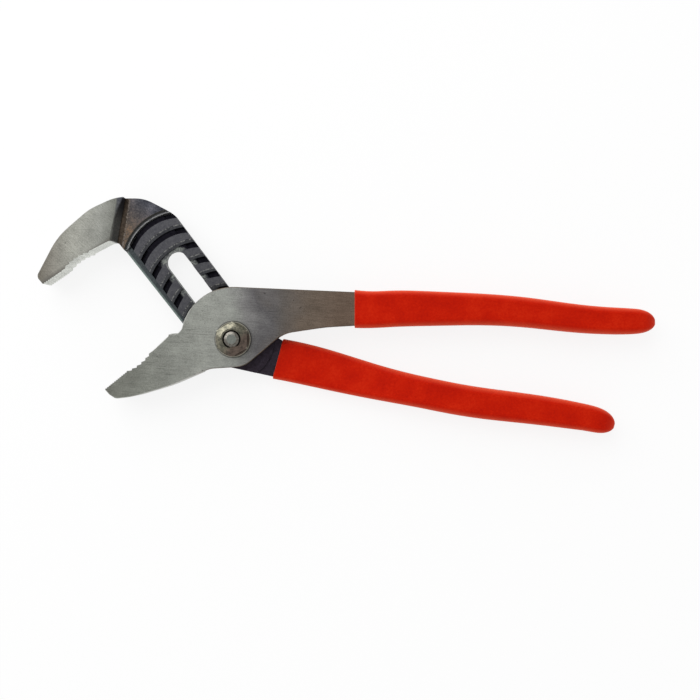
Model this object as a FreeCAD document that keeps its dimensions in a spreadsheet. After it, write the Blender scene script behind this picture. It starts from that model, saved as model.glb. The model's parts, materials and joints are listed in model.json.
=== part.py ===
"""Tongue and groove pliers, 12 inch class: two forged levers on one pivot bolt, with dipped grips.

The levers lie flat in the XY plane. The pivot axis is the Z axis, and the bolt head's flat back face
is Z = 0. +X points to the handles, +Y to the upper jaw, and +Z to the nut.
The fixed-jaw lever is the front half of the joint. Its back carries a curved tongue. The slotted lever
is the back half: its arm has a slot for the bolt and a curved groove for each jaw setting.
"""
import FreeCAD, Part
import math
import os
import Sketcher
from FreeCAD import Placement, Rotation, Vector

# ---------------------------------------------------------------------------------------------
# Driving dimensions, in millimetres and degrees
# ---------------------------------------------------------------------------------------------
DIMENSIONS = (
    # the stack along the pivot axis
    ("lever_thickness", 12.5, "full thickness of each jaw"),
    ("face_gap", 0.1, "gap between the two levers' meeting faces"),
    ("running_gap", 0.05, "clearance of the bolt in its hole and slot"),
    # pivot bolt, washer and nut
    ("head_thickness", 3.2, "bolt head"),
    ("head_radius", 10.0, "bolt head"),
    ("head_bevel", 0.8, "bevel round the back of the bolt head"),
    ("hole_radius", 5.5, "pivot hole in the fixed-jaw lever"),
    ("neck_radius", 6.4, "bolt neck over its rounded sides"),
    ("thread_radius", 4.4, "threaded end of the bolt"),
    ("bolt_tip_radius", 2.6, "flat on the bolt's bevelled end"),
    ("bolt_stand_out", 0.4, "bolt end above the nut"),
    ("washer_radius", 9.6, "washer"),
    ("washer_bore", 5.3, "washer bore radius"),
    ("washer_thickness", 1.0, "washer"),
    ("nut_flats", 16.4, "nut across its flats"),
    ("nut_thickness", 6.0, "nut"),
    ("nut_crown", 1.9, "drop of the nut's conical crown at its corners"),
    ("nut_rim", 0.9, "flat ring between the nut's bore and its crown"),
    ("bore_bevel", 0.5, "bevel at the mouth of the nut's bore"),
    ("stake_width", 1.8, "tabs staked from the nut into its bore's bevel"),
    ("stake_height", 1.0, "tabs staked from the nut into its bore's bevel"),
    # slot, grooves and tongue
    ("slot_angle", 126.87, "direction of the slot, from +X towards the upper jaw"),
    ("slot_width", 12.0, "slot for the bolt's neck"),
    ("slot_past_top", 3.3, "slot's end centre past the bolt at the closest setting"),
    ("slot_past_bottom", 2.3, "slot's end centre past the bolt at the widest setting"),
    ("groove_pitch", 10.1, "step from one jaw setting to the next"),
    ("groove_steps", 5.0, "steps from the widest setting to the closest"),
    ("plate_radius", 28.7, "round end of the fixed-jaw lever's front plate"),
    ("tongue_inset", 0.2, "tongue's outer side from the plate's round end"),
    ("tongue_width", 1.4, "tongue, across its arc"),
    ("tongue_height", 1.1, "tongue"),
    ("tongue_start", 161.8, "angle of the tongue's free end"),
    ("tongue_end", 176.5, "angle at which the tongue runs into the jaw"),
    ("load_gap", 0.1, "groove wall that takes the load, from the tongue"),
    ("free_gap", 1.9, "groove wall on the jaw side, from the tongue"),
    ("groove_depth", 1.4, "groove beside the slot"),
    ("groove_deep", 2.6, "groove where it is deepest"),
    ("slot_rim", 3.4, "shallow part of each groove beside the slot"),
    ("lip_width", 1.9, "rough bevel along each groove's jaw side"),
    ("lip_depth", 0.7, "rough bevel along each groove's jaw side"),
    ("groove_reach", 15.3, "outer ends of the grooves, from the slot's centre line"),
    ("release_depth", 1.3, "strip along the arm's outer edge that lets the tongue pass"),
    ("release_start", 13.0, "release strip's handle end, from the widest setting"),
    ("release_end", 75.6, "release strip's jaw end, from the widest setting"),
    # how far the levers turn from the setting they are made in
    ("closing", 7.0, "turn of the slotted lever that closes the jaws"),
    ("opening", 33.0, "turn of the slotted lever that opens the jaws"),
    ("wall_gap", 0.4, "jaw's inner wall from the arm's edge at either limit"),
    # slotted lever
    ("arm_outer", 17.3, "arm's outer edge from the slot's centre line, beside the bolt"),
    ("arm_flare", 1.35, "turn of the arm's outer edge from the slot's direction"),
    ("arm_inner", 14.6, "arm's inner edge from the slot's centre line"),
    ("shoulder_rise", 1.3, "shoulder between arm and jaw, over the grooved face"),
    ("step_gap", 1.9, "top of the step down to the grooved face, beyond the closest groove"),
    ("step_draft", 34.7, "slope of that step"),
    ("root_radius", 22.0, "arc where the root steps down to the handle"),
    # teeth
    ("fine_pitch", 1.3, "fine teeth at the jaw tips"),
    ("fine_depth", 0.45, "fine teeth at the jaw tips"),
    ("coarse_pitch", 2.9, "coarse teeth"),
    ("coarse_depth", 0.85, "coarse teeth"),
    # handles and grips
    ("neck_reach", 66.8, "pivot to the mouth of the upper grip"),
    ("vinyl", 1.25, "thickness of the dipped grips"),
    ("edge_break", 0.35, "ground bevel round the levers' flat faces"),
)

doc = FreeCAD.newDocument("tongue_and_groove_pliers")
sheet = doc.addObject("Spreadsheet::Sheet", "Dimensions")
for row, (alias, value, meaning) in enumerate(DIMENSIONS, start=1):
    sheet.set(f"A{row}", meaning)
    sheet.set(f"B{row}", str(value))
    sheet.setAlias(f"B{row}", alias)
doc.recompute()
size = {alias: float(sheet.get(alias)) for alias, _, _ in DIMENSIONS}

# Levels along the pivot axis, as the sheet's expressions and as numbers
BACK = "Dimensions.head_thickness + Dimensions.running_gap"
HALF = "Dimensions.lever_thickness / 2"
PLATE_BACK = f"{BACK} + {HALF} + Dimensions.face_gap / 2"
BLADE_FACE = f"{BACK} + {HALF} - Dimensions.face_gap / 2"
FRONT = f"{BACK} + Dimensions.lever_thickness"
NUT_SEAT = f"{FRONT} + Dimensions.running_gap + Dimensions.washer_thickness"
back = size["head_thickness"] + size["running_gap"]
middle = back + size["lever_thickness"] / 2
front = back + size["lever_thickness"]
blade_face = middle - size["face_gap"] / 2

# Directions and radii that several pieces share
slot_turn = math.radians(size["slot_angle"])
tongue_outer = size["plate_radius"] - size["tongue_inset"]
tongue_inner = tongue_outer - size["tongue_width"]
load_wall = tongue_inner - size["load_gap"]
free_wall = tongue_outer + size["free_gap"]
groove_steps = int(size["groove_steps"])
top_setting = groove_steps * size["groove_pitch"]
FLAT = 1e-4  # how far an edge may stray and still lie in a plane
EDGE_SHORTEST = 5.0  # edges up to this length, such as the teeth, stay sharp
TOOTH_ROOM = 1.0  # and so does an edge that ends this near to the last tooth
CUT_ROOM = 30.0  # how far cutting profiles run past the metal


# ---------------------------------------------------------------------------------------------
# Plane geometry
# ---------------------------------------------------------------------------------------------
def polar(radius, degrees):
    """The point at this radius and angle about the pivot."""
    turn = math.radians(degrees)
    return radius * math.cos(turn), radius * math.sin(turn)


def on_arm(along, across):
    """A point of the arm: along the slot towards the jaw, and across towards the arm's outer edge."""
    cosine, sine = math.cos(slot_turn), math.sin(slot_turn)
    return along * cosine - across * sine, along * sine + across * cosine


def arm_edge_turn():
    """Direction of the arm's flared outer edge."""
    return size["slot_angle"] + size["arm_flare"]


def crossing(point_a, angle_a, point_b, angle_b):
    """Where a line through point_a at angle_a meets a line through point_b at angle_b."""
    ax, ay = math.cos(math.radians(angle_a)), math.sin(math.radians(angle_a))
    bx, by = math.cos(math.radians(angle_b)), math.sin(math.radians(angle_b))
    gap_x, gap_y = point_b[0] - point_a[0], point_b[1] - point_a[1]
    run = (gap_x * by - gap_y * bx) / (ax * by - ay * bx)
    return point_a[0] + run * ax, point_a[1] + run * ay


def heading(start, end):
    """The direction from one point to another, in degrees."""
    return math.degrees(math.atan2(end[1] - start[1], end[0] - start[0]))


def tangent_angle(point, radius):
    """Angle about the pivot at which a line from point touches the circle of this radius."""
    distance = math.hypot(*point)
    return math.degrees(math.atan2(point[1], point[0]) + math.acos(radius / distance))


def rounded(corners):
    """Lines and tangent arcs round a closed outline. Each corner is (x, y) or (x, y, radius)."""
    points = [Vector(corner[0], corner[1], 0) for corner in corners]
    radii = [corner[2] if len(corner) > 2 else 0.0 for corner in corners]
    trims = []
    for index, point in enumerate(points):
        before = (points[index - 1] - point).normalize()
        after = (points[(index + 1) % len(points)] - point).normalize()
        half_angle = before.getAngle(after) / 2
        reach = radii[index] / math.tan(half_angle)
        bisector = before + after
        centre = point
        if radii[index]:
            centre = point + bisector.normalize() * (radii[index] / math.sin(half_angle))
        trims.append((point + before * reach, centre, point + after * reach))
    edges = []
    for index, (start, centre, end) in enumerate(trims):
        if radii[index]:
            middle_of_arc = centre + (points[index] - centre).normalize() * radii[index]
            edges.append(Part.Arc(start, middle_of_arc, end))
        following = trims[(index + 1) % len(trims)][0]
        if end.distanceToPoint(following) > 1e-6:
            edges.append(Part.LineSegment(end, following))
    return edges


def tooth_row(start, end, outward, pitch, depth, crest, dip=0.0):
    """Corners of a row of teeth from start to end, whose roots dip below the line between the two.

    The crest places each tip within its pitch; the pitch is trimmed to fit a whole number of teeth.
    """
    length = math.hypot(end[0] - start[0], end[1] - start[1])
    step_x, step_y = (end[0] - start[0]) / length, (end[1] - start[1]) / length
    up_x, up_y = -step_y * outward, step_x * outward
    count = round(length / pitch)

    def on_row(tooth, rise):
        share = tooth / count
        height = rise - 4 * dip * share * (1 - share)
        along = share * length
        return start[0] + along * step_x + height * up_x, start[1] + along * step_y + height * up_y

    corners = []
    for tooth in range(count):
        corners += [on_row(tooth, 0), on_row(tooth + crest, depth)]
    return corners


def arc_band(inner, outer, low, high):
    """A band between two radii about the origin, cut off across it at low and high."""
    def edge(radius):
        start = Vector(math.sqrt(radius**2 - low**2), low, 0)
        end = Vector(math.sqrt(radius**2 - high**2), high, 0)
        return start, Vector(radius, 0, 0), end
    inner_start, inner_mid, inner_end = edge(inner)
    outer_start, outer_mid, outer_end = edge(outer)
    if low > 0 or high < 0:
        centre_line = (low + high) / 2
        inner_mid = Vector(math.sqrt(inner**2 - centre_line**2), centre_line, 0)
        outer_mid = Vector(math.sqrt(outer**2 - centre_line**2), centre_line, 0)
    return [
        Part.Arc(inner_start, inner_mid, inner_end),
        Part.LineSegment(inner_end, outer_end),
        Part.Arc(outer_end, outer_mid, outer_start),
        Part.LineSegment(outer_start, inner_start),
    ]


# ---------------------------------------------------------------------------------------------
# Document helpers
# ---------------------------------------------------------------------------------------------
def new_body(label):
    """A PartDesign body whose label names its file."""
    body = doc.addObject("PartDesign::Body", label)
    body.Label = label
    return body


def add_sketch(body, name, edges, level=None, turn=0.0, role="XY_Plane", frame=None):
    """A sketch on one of the body's own origin planes, at a level bound to the sheet."""
    sketch = body.newObject("Sketcher::SketchObject", name)
    plane = next(item for item in body.Origin.OriginFeatures if item.Role == role)
    sketch.AttachmentSupport = [(plane, "")]
    sketch.MapMode = "FlatFace"
    if frame is None:
        frame = Placement(Vector(0, 0, 0), Rotation(Vector(0, 0, 1), turn))
    else:
        frame = plane.Placement.inverse().multiply(frame)
    sketch.AttachmentOffset = frame
    if level:
        sketch.setExpression("AttachmentOffset.Base.z", level)
    sketch.addGeometry(edges, False)
    return sketch


def pad(body, name, sketch, length, reverse=False):
    """A pad whose length is bound to the sheet."""
    feature = body.newObject("PartDesign::Pad", name)
    feature.Profile = sketch
    feature.setExpression("Length", length)
    feature.Reversed = reverse
    return feature


def pocket(body, name, sketch, depth=None, draft=None):
    """A pocket towards -Z from its sketch: to a depth bound to the sheet, or right through."""
    feature = body.newObject("PartDesign::Pocket", name)
    feature.Profile = sketch
    if depth is None:
        feature.Type = "ThroughAll"
        feature.Midplane = True
    else:
        feature.setExpression("Length", depth)
    if draft:
        feature.setExpression("TaperAngle", draft)
    return feature


def repeat_along(body, name, features, direction, steps):
    """The features once more at each step along the sketch's X axis, towards the upper jaw."""
    row = body.newObject("PartDesign::LinearPattern", name)
    row.Originals = features
    row.Direction = (direction, ["H_Axis"])
    row.setExpression("Length", f"Dimensions.groove_pitch * {steps}")
    body.Tip = row
    row.Occurrences = steps + 1
    return row


def break_edges(body, name, levels, teeth_end):
    """A small ground bevel on every longer edge at these levels, but none beside the teeth."""
    doc.recompute()
    base = body.Tip
    edges = []
    for number, edge in enumerate(base.Shape.Edges, start=1):
        box = edge.BoundBox
        flat = box.ZMax - box.ZMin < FLAT
        at_level = flat and min(abs(box.ZMin - level) for level in levels) < FLAT
        ends = [(vertex.X, vertex.Y) for vertex in edge.Vertexes]
        beside_teeth = any(math.dist(end, teeth_end) < TOOTH_ROOM for end in ends)
        if at_level and edge.Length > EDGE_SHORTEST and not beside_teeth:
            edges.append(f"Edge{number}")
    bevel = body.newObject("PartDesign::Chamfer", name)
    bevel.Base = (base, edges)
    bevel.setExpression("Size", "Dimensions.edge_break")
    return bevel


def circle(radius, centre=(0, 0)):
    """A full circle in a sketch."""
    return Part.Circle(Vector(centre[0], centre[1], 0), Vector(0, 0, 1), radius)


def bind_radius(sketch, geometry, name, expression):
    """Drive a circle's radius from the sheet, with its centre on the sketch's origin."""
    sketch.addConstraint(Sketcher.Constraint("Coincident", geometry, 3, -1, 1))
    radius = sketch.Geometry[geometry].Radius
    index = sketch.addConstraint(Sketcher.Constraint("Radius", geometry, radius))
    sketch.renameConstraint(index, name)
    sketch.setExpression(f"Constraints.{name}", expression)


# ---------------------------------------------------------------------------------------------
# Handles: stations along each handle, outside the vinyl
# ---------------------------------------------------------------------------------------------
# (distance from the grip's mouth, sideways shift, half width, height over mid-plane, half thickness)
UPPER_STATIONS = (
    (0.0, 0.0, 10.4, 3.15, 4.35),
    (20.0, 0.1, 10.0, 3.1, 4.5),
    (45.0, 0.2, 9.4, 2.4, 4.8),
    (70.0, -0.2, 8.7, 1.5, 5.1),
    (95.0, -1.9, 8.3, 1.0, 5.2),
    (120.0, -4.9, 7.9, 1.0, 5.1),
    (140.0, -6.4, 7.5, 1.0, 4.9),
    (152.5, -6.7, 7.1, 1.0, 4.65),
)
LOWER_STATIONS = (
    (0.0, 0.0, 11.5, -3.8, 3.7),
    (18.0, 1.0, 11.35, -3.8, 3.75),
    (42.0, 1.3, 10.4, -3.5, 3.95),
    (68.0, 2.0, 9.1, -2.2, 4.7),
    (92.0, 3.4, 8.7, -1.1, 5.1),
    (118.0, 5.9, 8.65, -1.0, 5.2),
    (144.0, 9.6, 8.3, -1.0, 5.0),
    (165.0, 12.0, 7.7, -1.0, 4.8),
    (176.5, 12.9, 7.2, -1.0, 4.55),
)
CAP_STEPS = (32.0, 56.0, 76.0)  # angles round the rounded end
CAP_LENGTH = 13.0
CAP_SKEW = -0.6  # sideways drop of the rounded end's tip
CORNER_SHARE = 0.72  # corner radius as a share of the half thickness


def with_rounded_end(stations):
    """The stations, then a rounded end worked out from the last of them."""
    distance, shift, half_width, height, half_thickness = stations[-1]
    capped = list(stations)
    for degrees in CAP_STEPS:
        turn = math.radians(degrees)
        capped.append((
            distance + CAP_LENGTH * math.sin(turn),
            shift + CAP_SKEW * (1 - math.cos(turn)),
            half_width * math.cos(turn),
            height,
            half_thickness * math.cos(turn),
        ))
    return capped


def handle_sections(body, name, stations, mouth, degrees, inset):
    """One rounded-rectangle sketch for each station of a handle."""
    turn = math.radians(degrees)
    ahead = Vector(math.cos(turn), math.sin(turn), 0)
    sideways = Vector(-math.sin(turn), math.cos(turn), 0)
    facing = Rotation(sideways, Vector(0, 0, 1), ahead, "ZXY")
    last = len(stations) - 1
    sections = []
    for index, (distance, shift, half_width, height, half_thickness) in enumerate(stations):
        half_width = max(half_width - inset, 0.4)
        half_thickness = max(half_thickness - inset, 0.3)
        distance = distance - inset if index == last else distance
        origin = Vector(mouth[0], mouth[1], middle + height) + ahead * distance + sideways * shift
        corner = CORNER_SHARE * half_thickness
        box = [
            (half_width, half_thickness, corner),
            (-half_width, half_thickness, corner),
            (-half_width, -half_thickness, corner),
            (half_width, -half_thickness, corner),
        ]
        frame = Placement(origin, facing)
        sections.append(
            add_sketch(body, f"{name}{index}", rounded(box), role="YZ_Plane", frame=frame)
        )
    return sections


def handle_loft(body, name, stations, mouth, degrees, inset=0.0):
    """A handle lofted through its stations; the inset leaves room for the vinyl."""
    sections = handle_sections(body, f"{name}Section", with_rounded_end(stations), mouth, degrees, inset)
    loft = body.newObject("PartDesign::AdditiveLoft", name)
    loft.Profile = sections[0]
    loft.Sections = sections[1:]
    return loft


UPPER_MOUTH = (size["neck_reach"], 16.7)
UPPER_TURN = 0.0
LOWER_MOUTH = (24.2, -10.8)
LOWER_TURN = -15.0


def mouth_corner(mouth, degrees, half_width, side):
    """Where the handle's edge leaves the mouth of the grip."""
    turn = math.radians(degrees)
    return mouth[0] - side * half_width * math.sin(turn), mouth[1] + side * half_width * math.cos(turn)


# ---------------------------------------------------------------------------------------------
# Fixed-jaw lever: lower jaw, front plate, tongue and upper handle
# ---------------------------------------------------------------------------------------------
LOWER_TIP = (-70.0, -27.6)
LOWER_FINE_END = (-58.3, -18.2)
LOWER_COARSE_END = (-44.2, -6.5)
LOWER_LIP = (-35.6, 1.7)
THROAT_CORNER = (-35.2, 2.9)  # where the jaw's bite face meets its throat
COARSE_DIP = 1.6  # hollow under each row of coarse teeth


def lower_teeth():
    """The lower jaw's teeth, from the tip towards the throat, with steep flanks towards the tip."""
    fine = tooth_row(LOWER_TIP, LOWER_FINE_END, 1, size["fine_pitch"], size["fine_depth"], 0.5)
    coarse = tooth_row(
        LOWER_FINE_END, LOWER_COARSE_END, 1, size["coarse_pitch"], size["coarse_depth"], 0.25, COARSE_DIP
    )
    return fine + coarse + [LOWER_COARSE_END, (*LOWER_LIP, 1.0)]


def jaw_underside():
    """The lower jaw's nose and belly, from the hub to the tip."""
    return [
        (-13.2, -16.1, 15.0),
        (-34.0, -25.2, 90.0),
        (-55.5, -31.6, 60.0),
        (-64.4, -32.4, 4.0),
        (-67.8, -30.1, 2.5),
    ]


def make_fixed_jaw_lever():
    """Front plate and jaw, the jaw's thick back half, the tongue, the pivot hole and the tang."""
    body = new_body("fixed_jaw_lever")
    half_width = UPPER_STATIONS[0][2] - size["vinyl"]
    mouth_top = mouth_corner(UPPER_MOUTH, UPPER_TURN, half_width, 1)
    mouth_bottom = mouth_corner(UPPER_MOUTH, UPPER_TURN, half_width, -1)
    plate = size["plate_radius"]
    top_touch = tangent_angle(mouth_top, plate)
    throat_touch = 166.0
    bulge = (top_touch + throat_touch) / 2
    plate_corner = polar(plate / math.cos(math.radians(throat_touch - bulge)), bulge)
    throat = crossing(polar(plate, throat_touch), throat_touch + 90, THROAT_CORNER, -16.0)
    outline = [
        mouth_top,
        (*plate_corner, plate),
        (*throat, 5.5),
        (*THROAT_CORNER, 0.4),
        *reversed(lower_teeth()),
        *reversed(jaw_underside()),
        (5.9, -14.9, 13.5),
        (27.2, 3.2, 17.0),
        (50.0, 6.6, 90.0),
        mouth_bottom,
    ]
    face = add_sketch(body, "PlateOutline", rounded(outline), PLATE_BACK)
    pad(body, "FrontPlate", face, f"{HALF} - Dimensions.face_gap / 2")

    # the jaw's back half stops at two walls that just clear the arm's outer edge where it is widest:
    # one with the handles closed, the other with the handles wide open
    flare = math.radians(size["arm_flare"])
    widest = size["arm_outer"] * math.cos(flare) + top_setting * math.sin(flare)
    reach = widest + size["wall_gap"]
    closed_turn = arm_edge_turn() + 90 + size["closing"]
    open_turn = arm_edge_turn() + 90 - size["opening"]
    closed_foot = polar(reach, closed_turn)
    open_foot = polar(reach, open_turn)
    underside = jaw_underside()
    ledge = crossing(closed_foot, closed_turn + 90, (-33.2, 4.5), -18.0)
    knee = crossing(closed_foot, closed_turn + 90, open_foot, open_turn + 90)
    belly = crossing(open_foot, open_turn + 90, underside[0], heading(underside[1], underside[0]))
    jaw = [
        (*ledge, 0.8),
        (-36.2, 3.1, 0.8),
        *reversed(lower_teeth()),
        *reversed(underside[1:]),
        belly,
        (*knee, 3.0),
    ]
    behind = add_sketch(body, "JawOutline", rounded(jaw), BACK)
    pad(body, "JawBack", behind, f"{HALF} + Dimensions.face_gap / 2")

    break_edges(body, "GroundEdges", (front,), LOWER_COARSE_END)

    # the tongue follows the plate's round end and fills one groove
    start, end = size["tongue_start"], size["tongue_end"]
    inner = [Vector(*polar(tongue_inner, angle), 0) for angle in (start, (start + end) / 2, end)]
    outer = [Vector(*polar(tongue_outer, angle), 0) for angle in (end, (start + end) / 2, start)]
    tongue = add_sketch(
        body,
        "TongueOutline",
        [
            Part.Arc(*inner),
            Part.LineSegment(inner[-1], outer[0]),
            Part.Arc(*outer),
            Part.LineSegment(outer[-1], inner[0]),
        ],
        f"{PLATE_BACK} + Dimensions.tongue_height",
    )
    pad(body, "Tongue", tongue, "2 * Dimensions.tongue_height", reverse=True)

    hole = add_sketch(body, "PivotHoleOutline", [circle(size["hole_radius"])], FRONT)
    bind_radius(hole, 0, "hole", "Dimensions.hole_radius")
    pocket(body, "PivotHole", hole)
    handle_loft(body, "UpperTang", UPPER_STATIONS, UPPER_MOUTH, UPPER_TURN, size["vinyl"])
    return body


# ---------------------------------------------------------------------------------------------
# Slotted lever: upper jaw, grooved arm and lower handle
# ---------------------------------------------------------------------------------------------
UPPER_TIP = (-104.2, 30.4)
UPPER_FINE_END = (-93.6, 37.6)
UPPER_COARSE_END = (-78.8, 48.2)


def upper_teeth():
    """The upper jaw's teeth, from the tip towards the throat, with steep flanks towards the throat."""
    fine = tooth_row(UPPER_TIP, UPPER_FINE_END, -1, size["fine_pitch"], size["fine_depth"], 0.5)
    coarse = tooth_row(
        UPPER_FINE_END, UPPER_COARSE_END, -1, size["coarse_pitch"], size["coarse_depth"], 0.75, COARSE_DIP
    )
    return fine + coarse + [(*UPPER_COARSE_END, 1.0)]


def beside_cheek(top, halfway, foot):
    """Everything on the pivot's side of an arc down the upper jaw's cheek."""
    far = 2 * CUT_ROOM
    top, halfway, foot = (Vector(*point, 0) for point in (top, halfway, foot))
    corners = [foot, Vector(foot.x, -far, 0), Vector(far, -far, 0), Vector(far, top.y, 0), top]
    sides = [Part.LineSegment(*pair) for pair in zip(corners, corners[1:])]
    return [Part.Arc(top, halfway, foot), *sides]


def make_slotted_jaw_lever():
    """Full-thickness blank, cut down to the shoulder and the arm, then slotted and grooved."""
    body = new_body("slotted_jaw_lever")
    half_width = LOWER_STATIONS[0][2] - size["vinyl"]
    mouth_top = mouth_corner(LOWER_MOUTH, LOWER_TURN, half_width, 1)
    mouth_bottom = mouth_corner(LOWER_MOUTH, LOWER_TURN, half_width, -1)
    slot_degrees = size["slot_angle"]
    outer_edge = on_arm(0, size["arm_outer"])
    inner_edge = on_arm(0, -size["arm_inner"])
    throat = crossing(outer_edge, arm_edge_turn(), UPPER_COARSE_END, 27.4)
    hub = crossing(outer_edge, arm_edge_turn(), mouth_bottom, 167.5)
    waist = crossing(inner_edge, slot_degrees, mouth_top, 150.5)
    shoulder = crossing(inner_edge, slot_degrees, (-40.0, 72.8), -27.5)
    outline = [
        (-107.5, 34.3, 3.0),
        (-96.2, 56.0, 40.0),
        (-78.9, 71.1, 30.0),
        (-64.1, 77.9, 24.0),
        (-49.8, 77.9, 20.0),
        (*shoulder, 10.0),
        (*waist, 20.0),
        mouth_top,
        mouth_bottom,
        (*hub, 13.0),
        (*throat, 4.5),
        *reversed(upper_teeth()),
    ]
    blank = add_sketch(body, "LeverOutline", rounded(outline), BACK)
    pad(body, "Blank", blank, "Dimensions.lever_thickness")

    # the jaw's front face ends on a curved cheek that slopes down to the shoulder
    shoulder_level = f"{BLADE_FACE} + Dimensions.shoulder_rise"
    cheek_edge = beside_cheek((-58.5, 81.0), (-64.6, 67.0), (-67.6, 48.0))
    cheek_foot = beside_cheek((-59.6, 81.0), (-61.6, 68.5), (-65.3, 48.0))
    slope = body.newObject("PartDesign::SubtractiveLoft", "Cheek")
    slope.Profile = add_sketch(body, "CheekEdgeOutline", cheek_edge, FRONT)
    slope.Sections = [add_sketch(body, "CheekFootOutline", cheek_foot, shoulder_level)]

    break_edges(body, "GroundEdges", (back, front), UPPER_COARSE_END)

    # the grooved face, up to the arc that takes the plate's round end at the closest setting
    edge = size["arm_outer"] + CUT_ROOM / 5
    step = free_wall + size["step_gap"]
    reach = math.sqrt(step**2 - edge**2)
    tail = -3 * CUT_ROOM
    land = [
        Part.Arc(
            Vector(top_setting + reach, edge, 0),
            Vector(top_setting + step, 0, 0),
            Vector(top_setting + reach, -edge, 0),
        ),
        Part.LineSegment(Vector(top_setting + reach, -edge, 0), Vector(tail, -edge, 0)),
        Part.LineSegment(Vector(tail, -edge, 0), Vector(tail, edge, 0)),
        Part.LineSegment(Vector(tail, edge, 0), Vector(top_setting + reach, edge, 0)),
    ]
    land_sketch = add_sketch(body, "LandOutline", land, shoulder_level, slot_degrees)
    pocket(body, "GroovedFace", land_sketch, "Dimensions.shoulder_rise", "-Dimensions.step_draft")

    # the slot
    half_slot = size["slot_width"] / 2
    high = top_setting + size["slot_past_top"]
    low = -size["slot_past_bottom"]
    slot = [
        Part.Arc(
            Vector(high, -half_slot, 0), Vector(high + half_slot, 0, 0), Vector(high, half_slot, 0)
        ),
        Part.LineSegment(Vector(high, half_slot, 0), Vector(low, half_slot, 0)),
        Part.Arc(
            Vector(low, half_slot, 0), Vector(low - half_slot, 0, 0), Vector(low, -half_slot, 0)
        ),
        Part.LineSegment(Vector(low, -half_slot, 0), Vector(high, -half_slot, 0)),
    ]
    slot_sketch = add_sketch(body, "SlotOutline", slot, BLADE_FACE, slot_degrees)
    pocket(body, "Slot", slot_sketch)

    # one groove: a band across the arm, deeper away from the slot, with a rough bevelled lip
    outer_end = size["groove_reach"]
    inner_end = -(size["arm_inner"] + CUT_ROOM / 10)
    rim = half_slot + size["slot_rim"]
    band = add_sketch(
        body, "GrooveOutline", arc_band(load_wall, free_wall, inner_end, outer_end), BLADE_FACE,
        slot_degrees,
    )
    groove = pocket(body, "Groove", band, "Dimensions.groove_depth")
    deep = add_sketch(
        body,
        "DeepGrooveOutline",
        arc_band(load_wall, free_wall, rim, outer_end)
        + arc_band(load_wall, free_wall, inner_end, -rim),
        BLADE_FACE,
        slot_degrees,
    )
    deep_groove = pocket(body, "DeepGroove", deep, "Dimensions.groove_deep")
    repeat_along(body, "Grooves", [groove, deep_groove], band, groove_steps)

    # the closest groove has no lip, since the shoulder rises straight from it
    outer_turn = math.degrees(math.asin(outer_end / free_wall))
    inner_turn = math.degrees(math.asin(inner_end / free_wall))
    facing = math.radians(slot_degrees + (outer_turn + inner_turn) / 2)
    radial = Vector(math.cos(facing), math.sin(facing), 0)
    upright = Vector(0, 0, 1)
    lip_frame = Placement(Vector(0, 0, 0), Rotation(radial, upright, radial.cross(upright), "ZXY"))
    lip_reach = free_wall + size["lip_width"]
    lip_section = [
        (free_wall - 0.3, blade_face + 0.3),
        (lip_reach, blade_face + 0.3),
        (lip_reach, blade_face - 0.15),
        (free_wall - 0.3, blade_face - size["lip_depth"]),
    ]
    lip_sketch = add_sketch(body, "LipSection", rounded(lip_section), role="XZ_Plane", frame=lip_frame)
    lip = body.newObject("PartDesign::Groove", "GrooveLip")
    lip.Profile = lip_sketch
    lip.ReferenceAxis = (lip_sketch, ["V_Axis"])
    lip.Angle = outer_turn - inner_turn
    lip.Midplane = True
    repeat_along(body, "GrooveLips", [lip], band, groove_steps - 1)

    # the release strip, where the tongue slides from one groove to the next
    strip = rounded([
        (size["release_start"], outer_end),
        (size["release_end"], outer_end),
        (size["release_end"], edge),
        (size["release_start"], edge),
    ])
    strip_sketch = add_sketch(body, "ReleaseOutline", strip, BLADE_FACE, slot_degrees)
    pocket(body, "ReleaseStrip", strip_sketch, "Dimensions.release_depth")

    # beyond an arc about the pivot the root is thinner by the vinyl that covers the handle
    root = size["root_radius"]
    quadrant = [
        Part.Arc(Vector(*polar(root, -100), 0), Vector(*polar(root, -45), 0), Vector(*polar(root, 10), 0)),
        Part.LineSegment(Vector(*polar(root, 10), 0), Vector(*polar(3 * CUT_ROOM, 10), 0)),
        Part.LineSegment(Vector(*polar(3 * CUT_ROOM, 10), 0), Vector(*polar(3 * CUT_ROOM, -100), 0)),
        Part.LineSegment(Vector(*polar(3 * CUT_ROOM, -100), 0), Vector(*polar(root, -100), 0)),
    ]
    root_sketch = add_sketch(body, "RootOutline", quadrant, BLADE_FACE)
    pocket(body, "RootStep", root_sketch, "Dimensions.vinyl + Dimensions.running_gap")
    handle_loft(body, "LowerTang", LOWER_STATIONS, LOWER_MOUTH, LOWER_TURN, size["vinyl"])
    return body


# ---------------------------------------------------------------------------------------------
# Pivot bolt, washer and nut
# ---------------------------------------------------------------------------------------------
def revolved(body, name, corners, cut=False):
    """A solid of revolution about the pivot axis; each corner is (radius, height)."""
    profile = add_sketch(body, f"{name}Profile", rounded(corners), role="XZ_Plane")
    feature = body.newObject("PartDesign::Groove" if cut else "PartDesign::Revolution", name)
    feature.Profile = profile
    feature.ReferenceAxis = (profile, ["V_Axis"])
    feature.Angle = 360
    return feature


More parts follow.
